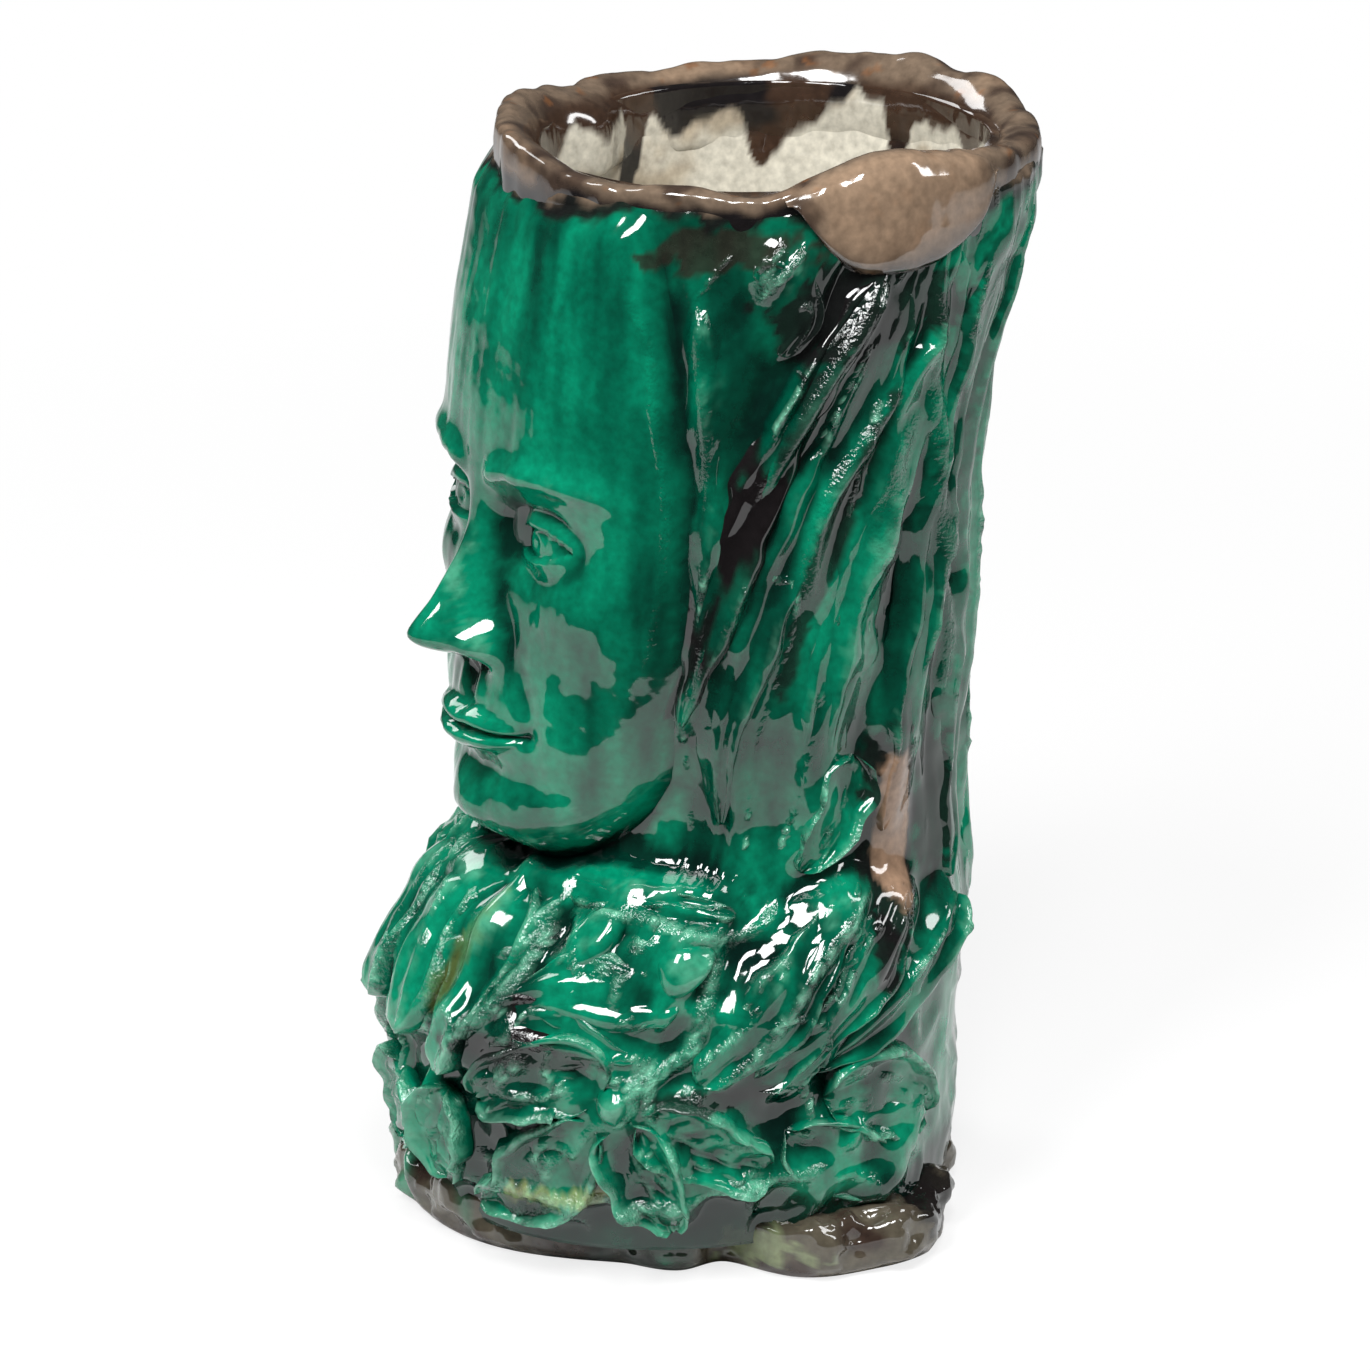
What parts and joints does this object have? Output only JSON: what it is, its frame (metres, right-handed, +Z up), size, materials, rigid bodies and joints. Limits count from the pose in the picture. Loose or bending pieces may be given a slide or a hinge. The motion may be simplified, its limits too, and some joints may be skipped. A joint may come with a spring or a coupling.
{
  "type": "face vase",
  "caption": "Hand-built glazed ceramic vase: a wide-mouthed vessel on a wavy foot, with an applied face, sweeping hair locks and a bust of folds and leaves.",
  "frame": {"origin": "on the vessel's axis, in the plane of the flat underside of the foot slab", "axes": "+Z up, -Y the way the face looks, +X the figure's left side"},
  "size_m": [0.1461, 0.1743, 0.2834],
  "materials": {
    "emerald_glaze": "gloss",
    "wall_glaze": "gloss",
    "bronze_glaze": "gloss",
    "foot_glaze": "gloss"
  },
  "bodies": {
    "root": {"bust_wall": "wall_glaze", "choker": "emerald_glaze", "choker_drop": "emerald_glaze", "choker_petal_front": "emerald_glaze", "choker_petal_side": "emerald_glaze", "collar_fold_lower": "emerald_glaze", "collar_fold_upper": "emerald_glaze", "corner_leaf": "emerald_glaze", "face_mask": "emerald_glaze", "foot_slab": "foot_glaze", "front_leaf_left": "emerald_glaze", "front_leaf_right": "emerald_glaze", "front_strip_left": "emerald_glaze", "front_strip_middle": "emerald_glaze", "front_strip_right": "emerald_glaze", "head_wall": "wall_glaze", "hem_leaf": "emerald_glaze", "knot": "emerald_glaze", "knot_leaf_hanging": "emerald_glaze", "knot_leaf_lower": "emerald_glaze", "knot_leaf_side": "emerald_glaze", "knot_leaf_upper": "emerald_glaze", "left_back_lock": "emerald_glaze", "left_crown_curl": "emerald_glaze", "left_eye": "emerald_glaze", "left_lower_lid": "emerald_glaze", "left_middle_lock": "emerald_glaze", "left_nape_curl": "emerald_glaze", "left_rear_lock": "emerald_glaze", "left_shoulder_lock_front": "emerald_glaze", "left_shoulder_lock_middle": "emerald_glaze", "left_shoulder_lock_rear": "emerald_glaze", "left_side_lock": "emerald_glaze", "left_swept_lock": "emerald_glaze", "left_temple_lock": "emerald_glaze", "left_upper_lid": "emerald_glaze", "lower_lip": "emerald_glaze", "middle_back_lock": "emerald_glaze", "nose": "emerald_glaze", "right_back_lock": "emerald_glaze", "right_collar_fold": "emerald_glaze", "right_corner_leaf": "emerald_glaze", "right_eye": "emerald_glaze", "right_hem_leaf": "emerald_glaze", "right_knot_leaf": "emerald_glaze", "right_lower_lid": "emerald_glaze", "right_middle_lock": "emerald_glaze", "right_nape_lock": "emerald_glaze", "right_rear_lock": "emerald_glaze", "right_shoulder_lock_front": "emerald_glaze", "right_shoulder_lock_rear": "emerald_glaze", "right_side_lock": "emerald_glaze", "right_temple_lock": "emerald_glaze", "right_upper_lid": "emerald_glaze", "rim_coil": "bronze_glaze", "rim_lap": "bronze_glaze", "upper_lip": "emerald_glaze"}
  },
  "joints": []
}
